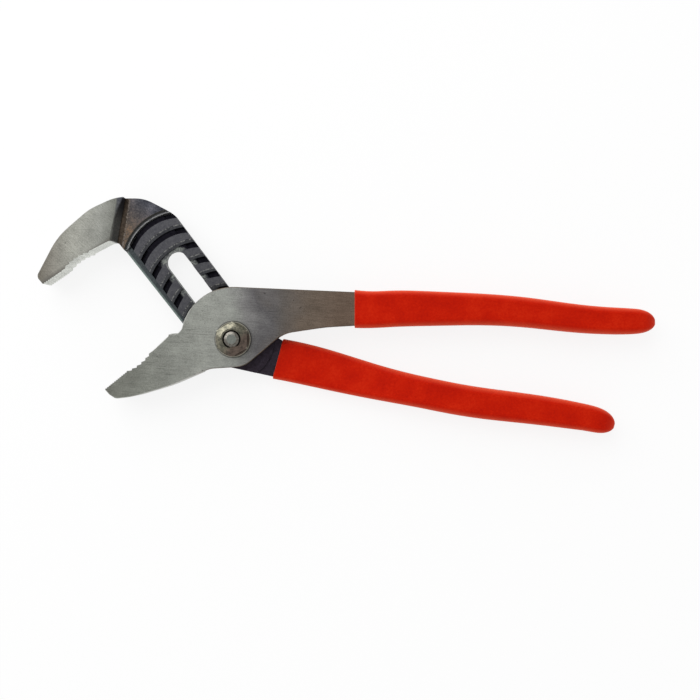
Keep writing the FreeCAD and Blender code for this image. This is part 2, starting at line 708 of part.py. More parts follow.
def make_pivot_bolt():
    """Round head, a neck with two flats that rides in the slot, a round shank and a threaded end."""
    body = new_body("pivot_bolt")
    head = size["head_thickness"]
    bevel = size["head_bevel"]
    neck_top = blade_face - size["running_gap"]
    shank = size["hole_radius"] - size["running_gap"]
    shank_top = front - size["running_gap"]
    thread = size["thread_radius"]
    nut_seat = front + size["running_gap"] + size["washer_thickness"]
    end = nut_seat + size["nut_thickness"] + size["bolt_stand_out"]
    tip = size["bolt_tip_radius"]
    revolved(body, "BoltTurned", [
        (0, 0),
        (size["head_radius"] - bevel, 0),
        (size["head_radius"], bevel),
        (size["head_radius"], head),
        (size["neck_radius"], head),
        (size["neck_radius"], neck_top),
        (shank, neck_top),
        (shank, shank_top),
        (thread, shank_top),
        (thread, end - (thread - tip) / 2),
        (tip, end),
        (0, end),
    ])
    flat = size["slot_width"] / 2 - size["running_gap"]
    far = size["neck_radius"] + 1
    flats = []
    for side in (1, -1):
        flats += rounded([(-far, side * flat), (far, side * flat), (far, side * far), (-far, side * far)])
    sketch = add_sketch(body, "NeckFlatsOutline", flats, f"{BLADE_FACE} - Dimensions.running_gap",
                        size["slot_angle"])
    pocket(body, "NeckFlats", sketch, f"{HALF} - Dimensions.face_gap / 2")
    return body


def make_washer():
    """Thin round washer between the nut and the front plate."""
    body = new_body("washer")
    outline = add_sketch(
        body, "WasherOutline", [circle(size["washer_radius"]), circle(size["washer_bore"])],
        f"{FRONT} + Dimensions.running_gap",
    )
    bind_radius(outline, 0, "rim", "Dimensions.washer_radius")
    bind_radius(outline, 1, "bore", "Dimensions.washer_bore")
    pad(body, "WasherDisc", outline, "Dimensions.washer_thickness")
    return body


STAKED_AT = (35, 150, 280)  # angles of the staked tabs, from +X


def make_lock_nut():
    """Hexagon nut with a conical crown, a bevelled bore and the staked tabs that lock it."""
    body = new_body("lock_nut")
    corner = size["nut_flats"] / math.sqrt(3)
    seat = front + size["running_gap"] + size["washer_thickness"]
    top = seat + size["nut_thickness"]
    bore = size["thread_radius"] + size["running_gap"]
    hexagon = rounded([polar(corner, 90 + 60 * side) for side in range(6)])
    outline = add_sketch(body, "NutOutline", hexagon, NUT_SEAT)
    pad(body, "NutBlank", outline, "Dimensions.nut_thickness")
    crown_start = bore + size["bore_bevel"] + size["nut_rim"]
    slope = size["nut_crown"] / (corner - crown_start)
    wide = corner + 1
    revolved(body, "NutCrown", [
        (crown_start, top),
        (wide, top - slope * (wide - crown_start)),
        (wide, top + 1),
        (crown_start, top + 1),
    ], cut=True)
    hole = add_sketch(body, "NutBoreOutline", [circle(bore)], NUT_SEAT)
    bind_radius(hole, 0, "bore", "Dimensions.thread_radius + Dimensions.running_gap")
    pocket(body, "NutBore", hole)
    bevel = size["bore_bevel"]
    revolved(body, "BoreBevel", [
        (bore - bevel, top + bevel), (bore + 2 * bevel, top + bevel), (bore - bevel, top - 2 * bevel),
    ], cut=True)
    for degrees in STAKED_AT:
        half = size["stake_width"] / 2
        tab = rounded([
            (bore, -half), (crown_start, -half), (crown_start, half), (bore, half),
        ])
        sketch = add_sketch(
            body, f"StakeOutline{degrees}", tab, f"{NUT_SEAT} + Dimensions.nut_thickness", degrees
        )
        pad(body, f"Stake{degrees}", sketch, "Dimensions.stake_height", reverse=True)
    return body


# ---------------------------------------------------------------------------------------------
# Dipped grips
# ---------------------------------------------------------------------------------------------
def make_grip(label, lever, stations, mouth, degrees):
    """A vinyl sleeve: the handle's outside, less the lever's tang inside it."""
    blank = new_body(f"{label}_blank")
    handle_loft(blank, f"{label.title().replace('_', '')}Skin", stations, mouth, degrees)
    grip = doc.addObject("Part::Cut", label)
    grip.Base = blank
    grip.Tool = lever
    grip.Label = label
    return grip


fixed_jaw_lever = make_fixed_jaw_lever()
slotted_jaw_lever = make_slotted_jaw_lever()
parts = [
    fixed_jaw_lever,
    slotted_jaw_lever,
    make_pivot_bolt(),
    make_washer(),
    make_lock_nut(),
    make_grip("upper_grip", fixed_jaw_lever, UPPER_STATIONS, UPPER_MOUTH, UPPER_TURN),
    make_grip("lower_grip", slotted_jaw_lever, LOWER_STATIONS, LOWER_MOUTH, LOWER_TURN),
]
doc.recompute()

failed = [item.Name for item in doc.Objects if {"Invalid", "Error"} & set(item.State)]
if failed:
    raise RuntimeError(f"features failed: {failed}")
for part in parts:
    if part.Shape.isNull() or not part.Shape.isValid():
        raise RuntimeError(f"{part.Label} has no valid shape")

os.makedirs("parts", exist_ok=True)
for part in parts:
    part.Shape.exportStep(f"parts/{part.Label}.step")
    box = part.Shape.BoundBox
    print(
        f"{part.Label}: {len(part.Shape.Solids)} solid, {part.Shape.Volume:.1f} mm3, "
        f"x {box.XMin:.1f}..{box.XMax:.1f} y {box.YMin:.1f}..{box.YMax:.1f} z {box.ZMin:.2f}..{box.ZMax:.2f}"
    )
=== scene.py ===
"""Finishes, grip mouths, floor, lights and camera for tongue and groove pliers lying flat.

The levers, bolt, washer, nut and grips come from the frame. This script gives each one the
finish of the real piece: forged tool steel, ground bright or left black, a plated nut and washer,
a bare bolt and dipped vinyl grips. It also models the soft rolled edge that the vinyl leaves
round each handle.
"""

import json
import math

import bpy
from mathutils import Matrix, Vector


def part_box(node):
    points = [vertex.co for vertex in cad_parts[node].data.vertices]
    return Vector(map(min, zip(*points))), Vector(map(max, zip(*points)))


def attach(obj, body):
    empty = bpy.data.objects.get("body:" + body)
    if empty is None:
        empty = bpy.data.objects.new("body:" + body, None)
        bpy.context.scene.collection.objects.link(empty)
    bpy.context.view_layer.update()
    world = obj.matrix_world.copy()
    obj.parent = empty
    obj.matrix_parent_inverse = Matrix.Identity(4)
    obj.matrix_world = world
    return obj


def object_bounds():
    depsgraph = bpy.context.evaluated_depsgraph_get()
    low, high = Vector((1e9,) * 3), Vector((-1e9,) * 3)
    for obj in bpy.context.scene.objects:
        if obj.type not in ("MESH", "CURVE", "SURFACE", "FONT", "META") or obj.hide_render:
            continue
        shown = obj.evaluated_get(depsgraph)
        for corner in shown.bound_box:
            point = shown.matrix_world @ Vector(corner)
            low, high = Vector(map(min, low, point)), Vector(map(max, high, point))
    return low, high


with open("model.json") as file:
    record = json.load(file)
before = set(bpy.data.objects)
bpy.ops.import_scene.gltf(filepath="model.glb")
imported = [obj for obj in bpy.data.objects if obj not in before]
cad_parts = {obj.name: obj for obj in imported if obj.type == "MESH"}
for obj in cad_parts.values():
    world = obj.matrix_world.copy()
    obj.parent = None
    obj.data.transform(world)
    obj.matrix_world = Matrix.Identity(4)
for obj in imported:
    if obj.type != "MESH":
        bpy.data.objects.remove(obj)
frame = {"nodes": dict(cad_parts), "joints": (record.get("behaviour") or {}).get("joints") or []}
cad_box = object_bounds()
MM = 0.001

# Levels along the pivot axis, in millimetres: the levers' outer faces and where the levers meet
front_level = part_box("washer")[0].z / MM
back_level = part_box("fixed_jaw_lever")[0].z / MM
middle_level = (front_level + back_level) / 2

# Directions in the levers' plane: along the slotted arm to its jaw, and out to its smooth edge
slide = next(joint for joint in frame["joints"] if joint["name"] == "groove_shift")
ARM = (-slide["axis"][0], -slide["axis"][1], 0.0)
OUTER = (-ARM[1], ARM[0], 0.0)
FLAT = (1.0, 1.0, 0.0)

# Places on the slotted arm, in millimetres from the pivot, along the arm or across it
SLOT_END = 53.8  # the centre of the slot's round end
SLOT_RIM = 9.2  # how far from the slot's middle the groove floors are painted lighter as if lit, and the soft border
SLOT_LIGHT_BORDER = 1.6
STRIP_START = 15.3  # the plain strip beside the grooves
EDGE_START = 16.9  # the arm's outer edge at the pivot, and how it spreads towards the jaw
EDGE_FLARE = 0.0236
STEP_CENTRE = 50.5  # the arc of the step above the last groove
STEP_RADIUS = 30.4

# The cheek, where the thick jaw drops to the arm: a point on its edge, its lean, and how far
# the ground face's border strays
CHEEK_POINT = (-66.7, 55.4)
CHEEK_LEAN = 0.154
CHEEK_STRAY = 1.6

# Square to the upper jaw's row of teeth, and how far the row's line passes from the bolt
TEETH = (-0.536, 0.844, 0.0)
TEETH_LINE = 81.5

# Which way from the bolt the nut is staked over the thread, and how much that side is drawn in
STAKE = (0.174, -0.985, 0.0)
STAKE_PULL = -0.5
STAIN_STRAY = 8.0  # how far the border of the plating's brown stain strays

# The reach of the fixed lever's tempering colours along X, how far their borders stray, and the
# washer's edge with the width of the painted shade round it, where the washer meets the plate
TEMPER_START = -58.0
TEMPER_END = 82.0
TEMPER_STRAY = 24.0
WASHER_EDGE = 9.9
WASHER_SHADE_WIDTH = 0.6

# Soft rolled mouths of the grips, in millimetres: along the handle, through the vinyl's skin, and
# the rolled edge's radius
LIP_LENGTH = 0.45
LIP_SKIN = 1.2
LIP_ROLL = 0.4
CORNER_SHARE = 0.72  # the section's corner radius, as a share of half its thickness
PARALLEL = 0.999  # the cosine above which two directions count as the same
QUAD_SIDES = 4

# The studio, in metres: the sheet under the pliers, the soft box and the camera
SHEET_WIDTH = 40.0
SHEET_GAP = 0.0002
SHEET_GLOW = 0.835  # what the sheet gives of its own where it is seen, so that it stays white
CEILING = 0.48  # the room's brightness overhead, and at the height of the pliers
WALLS = 1.0
KEY_PLACE = Vector((-0.95, 1.15, 1.05))
KEY_AIM = Vector((0.06, -0.01, 0.01))
KEY_WIDTH = 2.2
KEY_POWER = 31.0  # watts
CAMERA_OVER = (0.0638, -0.0058)
CAMERA_HEIGHT = 0.455  # above the front faces of the levers
HALF_VIEW = 0.1911  # half the width that the camera sees there


def colour(code):
    """An sRGB hex code as the linear colour that a shader takes."""
    channels = [int(code[start:start + 2], 16) / 255 for start in (1, 3, 5)]
    linear = [c / 12.92 if c <= 0.04045 else ((c + 0.055) / 1.055) ** 2.4 for c in channels]
    return (*linear, 1.0)


def add(tree, kind, inputs=None, stops=None, **settings):
    """A node with its settings, its inputs as values or links, and a colour ramp's stops."""
    node = tree.nodes.new(kind)
    for name, value in settings.items():
        setattr(node, name, value)
    for socket, value in (inputs or {}).items():
        if isinstance(value, bpy.types.NodeSocket):
            tree.links.new(value, node.inputs[socket])
        else:
            node.inputs[socket].default_value = value
    for index, (position, shade) in enumerate(stops or ()):
        ramp = node.color_ramp.elements
        stop = ramp[index] if index < 2 else ramp.new(position)
        stop.position = position
        stop.color = shade
    return node


def new_material(name, metallic, roughness):
    """An empty material with its shader, and the object's coordinates in millimetres."""
    material = bpy.data.materials.new(name)
    material.use_nodes = True
    tree = material.node_tree
    tree.nodes.clear()
    shader = add(
        tree, "ShaderNodeBsdfPrincipled", {"Metallic": metallic, "Roughness": roughness}
    )
    add(tree, "ShaderNodeOutputMaterial", {"Surface": shader.outputs["BSDF"]})
    origin = add(tree, "ShaderNodeTexCoord")
    place = add(
        tree, "ShaderNodeVectorMath", {0: origin.outputs["Object"], "Scale": 1 / MM},
        operation="SCALE",
    )
    return material, tree, shader, place.outputs["Vector"]


def assign(node_name, material):
    """Gives a CAD node its finish."""
    mesh = frame["nodes"][node_name].data
    mesh.materials.clear()
    mesh.materials.append(material)


# ---------------------------------------------------------------------------------------------
# What the steel finishes share
# ---------------------------------------------------------------------------------------------
def layered(tree, ground, layers):
    """Colours laid over one another, each through its mask."""
    for mask, cover in layers:
        mixed = add(
            tree, "ShaderNodeMix", {"Factor": mask, 6: ground, 7: cover}, data_type="RGBA"
        )
        ground = mixed.outputs[2]
    return ground


def grinding(tree, place, turn):
    """What surface grinding leaves: fine streaks along the wheel's path, mottling, a few pits.

    Gives a brightness that averages one, and the relief of the streaks.
    """
    turned = add(tree, "ShaderNodeMapping", {"Vector": place, "Rotation": (0, 0, turn)})
    # the wheel's marks lie some 0.05 mm apart; they are drawn ten times as coarse, to show
    stretched = add(
        tree, "ShaderNodeMapping", {"Vector": turned.outputs[0], "Scale": (0.1, 1.7, 0.4)}
    )
    streaks = add(
        tree, "ShaderNodeTexNoise",
        {"Vector": stretched.outputs[0], "Scale": 1.3, "Detail": 6.0, "Roughness": 0.75},
    ).outputs["Fac"]
    # uneven wear of the wheel, some 10 mm across
    mottle = add(
        tree, "ShaderNodeTexNoise",
        {"Vector": place, "Scale": 0.10, "Detail": 4.0, "Roughness": 0.55},
    )
    # crystals and dust, drawn at 0.6 mm so that they show
    grain = add(
        tree, "ShaderNodeTexNoise",
        {"Vector": place, "Scale": 1.6, "Detail": 4.0, "Roughness": 0.9},
    )
    marks = add(
        tree, "ShaderNodeMix", {"Factor": 0.6, 2: streaks, 3: grain.outputs["Fac"]},
        data_type="FLOAT",
    )
    both = add(
        tree, "ShaderNodeMix", {"Factor": 0.22, 2: marks.outputs[0], 3: mottle.outputs["Fac"]},
        data_type="FLOAT",
    )
    # forging pits that the wheel did not reach, under 1 mm across, and long scratches from use,
    # which run askew to the wheel's marks
    pits = add(tree, "ShaderNodeTexNoise", {"Vector": place, "Scale": 0.5, "Detail": 2.0})
    askew = turn + 0.7
    dragged = add(
        tree, "ShaderNodeMapping",
        {"Vector": place, "Rotation": (0, 0, askew), "Scale": (0.05, 1.1, 0.3)},
    )
    scores = add(
        tree, "ShaderNodeTexNoise",
        {"Vector": dragged.outputs[0], "Scale": 1.1, "Detail": 1.0},
    )
    # each mark's brightness, from a low noise value to a high one
    brightness = 1.0
    for value, low, high, darkest, lightest in (
        (both.outputs[0], 0.38, 0.62, 0.60, 1.40),
        (pits.outputs["Fac"], 0.25, 0.30, 0.55, 1.0),
        (scores.outputs["Fac"], 0.27, 0.32, 0.72, 1.0),
    ):
        level = add(
            tree, "ShaderNodeMapRange",
            {"Value": value, "From Min": low, "From Max": high,
             "To Min": darkest, "To Max": lightest},
        )
        brightness = add(
            tree, "ShaderNodeMath", {0: brightness, 1: level.outputs[0]}, operation="MULTIPLY"
        ).outputs[0]
    return brightness, streaks


def mill_scale(tree, place, browns, greys):
    """Scale left by forging, mottled between three browns, and the same in three greys.

    Gives the two colours, and the relief of the scale's grain.
    """
    # patches some 8 mm across
    patches = add(
        tree, "ShaderNodeTexNoise",
        {"Vector": place, "Scale": 0.12, "Detail": 5.0, "Roughness": 0.65},
    )
    # rust freckles and the scale's grain, drawn at 0.8 mm so that they show
    specks = add(
        tree, "ShaderNodeTexNoise",
        {"Vector": place, "Scale": 1.2, "Detail": 4.0, "Roughness": 0.9},
    ).outputs["Fac"]
    both = add(
        tree, "ShaderNodeMix", {"Factor": 0.5, 2: patches.outputs["Fac"], 3: specks},
        data_type="FLOAT",
    )
    tones = [
        add(
            tree, "ShaderNodeValToRGB", {"Fac": both.outputs[0]},
            stops=[(position, colour(code)) for position, code in zip((0.38, 0.5, 0.62), codes)],
        ).outputs["Color"]
        for codes in (browns, greys)
    ]
    return tones, specks


def from_bolt(tree, place):
    """How far a point lies from the bolt's axis."""
    flat = add(tree, "ShaderNodeVectorMath", {0: place, 1: FLAT}, operation="MULTIPLY")
    radius = add(tree, "ShaderNodeVectorMath", {0: flat.outputs[0]}, operation="LENGTH")
    return radius.outputs["Value"]


def drawn_in(tree, place, radius):
    """A distance from the bolt's axis, made less on the side where the nut is staked."""
    staked = add(tree, "ShaderNodeVectorMath", {0: place, 1: STAKE}, operation="DOT_PRODUCT")
    return add(
        tree, "ShaderNodeMath", {0: staked.outputs["Value"], 1: STAKE_PULL, 2: radius},
        operation="MULTIPLY_ADD",
    ).outputs[0]


# ---------------------------------------------------------------------------------------------
# Levers
# ---------------------------------------------------------------------------------------------
def fixed_lever_steel():
    """Forged alloy steel, surface ground: grey, finely streaked, browned by tempering at the neck.

    The wheel touches only the broad faces, so the edge walls keep a darker, duller scale.
    """
    material, tree, shader, place = new_material("ground_forged_steel", 1.0, 0.40)
    brightness, relief = grinding(tree, place, 0.1)
    parts = add(tree, "ShaderNodeSeparateXYZ", {"Vector": place})
    # the temper's borders wander over patches some 17 mm across
    drift = add(tree, "ShaderNodeTexNoise", {"Vector": place, "Scale": 0.06, "Detail": 4.0})
    wander = add(
        tree, "ShaderNodeMath",
        {0: drift.outputs["Fac"], 1: TEMPER_STRAY, 2: parts.outputs["X"]},
        operation="MULTIPLY_ADD",
    )
    along = add(
        tree, "ShaderNodeMapRange",
        {"Value": wander.outputs[0], "From Min": TEMPER_START, "From Max": TEMPER_END,
         "To Min": 0.0, "To Max": 1.0},
    )
    # the wheel cuts deepest at the hub; past it the temper's grey, purple and straw are left
    tone = add(
        tree, "ShaderNodeValToRGB", {"Fac": along.outputs[0]},
        stops=[
            (0.00, colour("#7e7f77")), (0.12, colour("#8d8f87")), (0.26, colour("#989a93")),
            (0.40, colour("#a7a9a2")), (0.50, colour("#a2a49e")), (0.56, colour("#888786")),
            (0.61, colour("#716f70")), (0.67, colour("#706b67")), (0.80, colour("#786b5f")),
            (1.0, colour("#7a6759")),
        ],
    )
    ground = add(
        tree, "ShaderNodeVectorMath", {0: tone.outputs["Color"], "Scale": brightness},
        operation="SCALE",
    )
    (brown, grey), grain = mill_scale(
        tree, place, ("#4c443d", "#5d534a", "#736354"), ("#9a9b96", "#b4b4af", "#c8c8c2")
    )
    facing = add(tree, "ShaderNodeNewGeometry")
    normal = add(tree, "ShaderNodeSeparateXYZ", {"Vector": facing.outputs["True Normal"]})
    upright = add(tree, "ShaderNodeMath", {0: normal.outputs["Z"]}, operation="ABSOLUTE")
    radius = from_bolt(tree, place)

    # masks, each from nothing at its first value to its strength at its second
    jaw_end, wall, washer_shade = (
        add(
            tree, "ShaderNodeMapRange",
            {"Value": value, "From Min": first, "From Max": last,
             "To Min": 0.0, "To Max": strength},
        ).outputs[0]
        for value, first, last, strength in (
            (parts.outputs["X"], -8.0, -25.0, 1.0),
            (upright.outputs[0], 0.94, 0.84, 1.0),
            (radius, WASHER_EDGE + WASHER_SHADE_WIDTH, WASHER_EDGE, 0.7),
        )
    )
    walls = layered(tree, brown, [(jaw_end, grey)])
    # a thin dark ring round the washer is painted shade, where the washer sits on the plate
    shade = layered(tree, ground.outputs[0], [(washer_shade, colour("#2c2825")), (wall, walls)])
    rough = add(
        tree, "ShaderNodeMapRange",
        {"Value": grain, "From Min": 0.3, "From Max": 0.7, "To Min": 0.34, "To Max": 0.48},
    )
    bump = add(
        tree, "ShaderNodeBump", {"Height": relief, "Strength": 0.25, "Distance": 0.00008}
    )
    tree.links.new(shade, shader.inputs["Base Color"])
    tree.links.new(rough.outputs[0], shader.inputs["Roughness"])
    tree.links.new(bump.outputs[0], shader.inputs["Normal"])
    return material


def slotted_lever_places(tree, place, worn):
    """Where a point lies on the slotted lever, in millimetres, by name."""
    parts = add(tree, "ShaderNodeSeparateXYZ", {"Vector": place})
    along, across, over_bolt = (
        add(
            tree, "ShaderNodeVectorMath", {0: place, 1: direction}, operation="DOT_PRODUCT"
        ).outputs["Value"]
        for direction in (ARM, OUTER, TEETH)
    )
    past_slot = add(tree, "ShaderNodeMath", {0: along, 1: SLOT_END}, operation="SUBTRACT")
    over_slot = add(tree, "ShaderNodeMath", {0: past_slot.outputs[0], 1: 0.0}, operation="MAXIMUM")
    slot_vector = add(
        tree, "ShaderNodeCombineXYZ", {"X": across, "Y": over_slot.outputs[0], "Z": 0.0}
    )
    flat = add(tree, "ShaderNodeVectorMath", {0: place, 1: FLAT}, operation="MULTIPLY")
    step_centre = tuple(STEP_CENTRE * part for part in ARM)
    leaned = add(
        tree, "ShaderNodeMath", {0: parts.outputs["Y"], 1: -CHEEK_LEAN, 2: parts.outputs["X"]},
        operation="MULTIPLY_ADD",
    )
    ragged = add(
        tree, "ShaderNodeMath", {0: worn, 1: CHEEK_STRAY, 2: leaned.outputs[0]},
        operation="MULTIPLY_ADD",
    )
    cheek_start = CHEEK_POINT[0] - CHEEK_LEAN * CHEEK_POINT[1] + CHEEK_STRAY / 2
    return {
        "x": parts.outputs["X"],
        "along": along,
        "across": across,
        "up_neck": add(
            tree, "ShaderNodeMath", {0: parts.outputs["X"], 1: parts.outputs["Y"]},
            operation="ADD",
        ).outputs[0],
        "below_face": add(
            tree, "ShaderNodeMath", {0: middle_level, 1: parts.outputs["Z"]},
            operation="SUBTRACT",
        ).outputs[0],
        "from_edge": add(
            tree, "ShaderNodeMath", {0: along, 1: -EDGE_FLARE, 2: across},
            operation="MULTIPLY_ADD",
        ).outputs[0],
        "from_slot": add(
            tree, "ShaderNodeVectorMath", {0: slot_vector.outputs[0]}, operation="LENGTH"
        ).outputs["Value"],
        "from_step": add(
            tree, "ShaderNodeVectorMath", {0: flat.outputs[0], 1: step_centre},
            operation="DISTANCE",
        ).outputs["Value"],
        "from_teeth": add(
            tree, "ShaderNodeMath", {0: over_bolt, 1: TEETH_LINE}, operation="SUBTRACT"
        ).outputs[0],
        "beyond_cheek": add(
            tree, "ShaderNodeMath", {0: ragged.outputs[0], 1: cheek_start}, operation="SUBTRACT"
        ).outputs[0],
    }


def slotted_lever_masks(tree, places, worn):
    """Which zone of the slotted lever a point is in, by the zone's name."""
    facing = add(tree, "ShaderNodeNewGeometry")
    normal = add(tree, "ShaderNodeSeparateXYZ", {"Vector": facing.outputs["True Normal"]})
    up = normal.outputs["Z"]
    upright = add(tree, "ShaderNodeMath", {0: up}, operation="ABSOLUTE").outputs[0]
    below_face = places["below_face"]
    beyond_cheek = places["beyond_cheek"]

    # each from nothing at its first value to whole at its second
    masks = {}
    for name, value, first, last in (
        ("lip", below_face, 0.12, 0.17),
        ("above_line", below_face, 0.40, 0.32),
        ("line_breaks", worn, 0.44, 0.54),
        ("groove", below_face, 0.74, 0.82),
        ("not_deep", below_face, 1.75, 1.65),
        ("upward", up, 0.6, 0.8),
        ("near_slot", places["from_slot"], SLOT_RIM, SLOT_RIM - SLOT_LIGHT_BORDER),
        ("ramp", worn, 0.42, 0.58),
        ("strip", places["across"], STRIP_START - 0.1, STRIP_START + 0.1),
        ("outer_edge", places["from_edge"], EDGE_START - 0.9, EDGE_START),
        ("step_line", places["from_step"], STEP_RADIUS + 0.75, STEP_RADIUS + 0.45),
        ("step_outside", places["from_step"], STEP_RADIUS - 0.3, STEP_RADIUS - 0.1),
        ("step", below_face, 0.0, -0.1),
        ("step_edge", below_face, -0.9, -1.15),
        ("shoulder", below_face, -1.1, -1.2),
        ("blued", places["up_neck"], 2.0, 26.0),
        ("cheek_foot", beyond_cheek, 6.4, 4.8),
        ("ridge_near", beyond_cheek, 5.0, 5.6),
        ("ridge_far", beyond_cheek, 6.3, 5.7),
        ("cheek", below_face, -1.5, -2.0),
        ("jaw", beyond_cheek, 0.3, -0.5),
        ("near_teeth", places["from_teeth"], 2.6, 0.2),
        ("root", places["along"], -7.0, -9.0),
        ("backward", up, -0.5, -0.8),
        ("wall", upright, 0.6, 0.3),
    ):
        masks[name] = add(
            tree, "ShaderNodeMapRange",
            {"Value": value, "From Min": first, "From Max": last, "To Min": 0.0, "To Max": 1.0},
        ).outputs[0]
    # zones that lie where two others meet
    for name, one, other in (
        ("bright_line", "above_line", "line_breaks"),
        ("bright_line", "bright_line", "lip"),
        ("ramp", "ramp", "near_slot"),
        ("shallow", "upward", "near_slot"),
        ("strip", "strip", "upward"),
        ("strip", "strip", "not_deep"),
        ("step_line", "step_line", "step_outside"),
        ("step_line", "step_line", "upward"),
        ("ridge", "ridge_near", "ridge_far"),
        ("ridge", "ridge", "line_breaks"),
    ):
        masks[name] = add(
            tree, "ShaderNodeMath", {0: masks[one], 1: masks[other]}, operation="MULTIPLY"
        ).outputs[0]
    return masks


def slotted_lever_steel():
    """Forged alloy steel: jaw ground grey, neck left in brown scale, grooved arm oxidised black.

    The oxide is matt and blue black, rubbed to slate where the other lever slides over it and to
    bare steel along its sharpest edges. Painted light is laid over it: the groove floors are
    painted darker as shade and lighter near the slot as if lit, the line along each land's edge is
    partly a worn burr and partly a painted highlight, the line along the step is a painted
    highlight, and the root is painted darker as the shade under the other lever's plate.
    """
    material, tree, shader, place = new_material("oxidised_forged_steel", 1.0, 0.42)
    brightness, relief = grinding(tree, place, 0.75)
    # wear of the oxide, in patches some 1 mm across
    worn = add(
        tree, "ShaderNodeTexNoise",
        {"Vector": place, "Scale": 0.8, "Detail": 5.0, "Roughness": 0.7},
    ).outputs["Fac"]
    places = slotted_lever_places(tree, place, worn)
    masks = slotted_lever_masks(tree, places, worn)

    # tones of the oxide, from the grooves, unworn and painted darker as shade, to the rubbed lands
    tones = {
        name: add(
            tree, "ShaderNodeValToRGB", {"Fac": worn},
            stops=[(0.36, colour(dark)), (0.64, colour(light))],
        ).outputs["Color"]
        for name, dark, light in (
            ("land", "#49494e", "#5a5a5d"),
            ("lip", "#45464a", "#5e5f62"),
            # the line along each land's edge: a burr worn bright, and a painted highlight
            ("line", "#797a7b", "#a9a9a6"),
            # the line along the step above the last groove: a painted highlight
            ("step_line", "#6b6c6e", "#929290"),
            # the groove floors: black oxide, painted darker still as shade
            ("groove", "#121217", "#1d1c22"),
            # the groove floors near the slot, painted lighter as if lit
            ("ramp", "#5f635f", "#8e928c"),
            ("strip", "#3e4345", "#4c5153"),
            ("edge", "#6b7874", "#84918c"),
            ("cheek", "#4b4c49", "#5f5e5b"),
            ("cheek_blue", "#363947", "#4a4d5a"),
            ("foot", "#3a332d", "#50463c"),
            # the root: black oxide, painted darker as the shade under the other lever's plate
            ("root", "#312b32", "#413a44"),
        )
    }
    (brown, blue), scale_relief = mill_scale(
        tree, place, ("#302b27", "#5a534c", "#8a705a"), ("#2f3036", "#4b4c53", "#6b6b72")
    )

    # the ground jaw: browner at its tip, darker along the teeth and beside the cheek, and bright
    # where the teeth are cut
    jaw_along = add(
        tree, "ShaderNodeMapRange",
        {"Value": places["x"], "From Min": -106.0, "From Max": -62.0,
         "To Min": 0.0, "To Max": 1.0},
    )
    jaw_tone = add(
        tree, "ShaderNodeValToRGB", {"Fac": jaw_along.outputs[0]},
        stops=[
            (0.00, colour("#6f6b62")), (0.14, colour("#807d75")), (0.40, colour("#9b9b93")),
            (0.75, colour("#90918b")), (0.95, colour("#71726c")),
        ],
    )
    jaw, bite, back = (
        add(
            tree, "ShaderNodeVectorMath", {0: tone, "Scale": brightness}, operation="SCALE"
        ).outputs[0]
        for tone in (
            jaw_tone.outputs["Color"], colour("#d5d7d1")[:3], colour("#94948d")[:3],
        )
    )
    jaw = layered(
        tree, jaw, [(masks["near_teeth"], colour("#67655f")), (masks["wall"], bite)]
    )

    # the groove floors: oxide painted darker as shade, and painted lighter near the slot as if lit
    groove = layered(
        tree, tones["groove"], [(masks["shallow"], tones["lip"]), (masks["ramp"], tones["ramp"])]
    )
    strip = layered(tree, tones["strip"], [(masks["outer_edge"], tones["edge"])])
    scale = layered(
        tree, brown,
        [
            (masks["blued"], blue),
            (masks["cheek_foot"], tones["foot"]),
            (masks["ridge"], colour("#77706a")),
        ],
    )
    cheek = layered(tree, tones["cheek"], [(masks["blued"], tones["cheek_blue"])])
    shade = layered(
        tree, tones["land"],
        [
            (masks["lip"], tones["lip"]),
            (masks["bright_line"], tones["line"]),
            (masks["groove"], groove),
            (masks["strip"], strip),
            (masks["step_line"], tones["step_line"]),
            (masks["step"], tones["cheek"]),
            (masks["step_edge"], colour("#6f685e")),
            (masks["shoulder"], scale),
            (masks["cheek"], cheek),
            (masks["root"], tones["root"]),
            (masks["backward"], back),
            (masks["jaw"], jaw),
        ],
    )
    rough = add(
        tree, "ShaderNodeMapRange",
        {"Value": worn, "From Min": 0.3, "From Max": 0.7, "To Min": 0.50, "To Max": 0.38},
    )
    relief_both = add(
        tree, "ShaderNodeMix", {"Factor": masks["jaw"], 2: scale_relief, 3: relief},
        data_type="FLOAT",
    )
    bump = add(
        tree, "ShaderNodeBump",
        {"Height": relief_both.outputs[0], "Strength": 0.3, "Distance": 0.0001},
    )
    tree.links.new(shade, shader.inputs["Base Color"])
    tree.links.new(rough.outputs[0], shader.inputs["Roughness"])
    tree.links.new(bump.outputs[0], shader.inputs["Normal"])
    return material


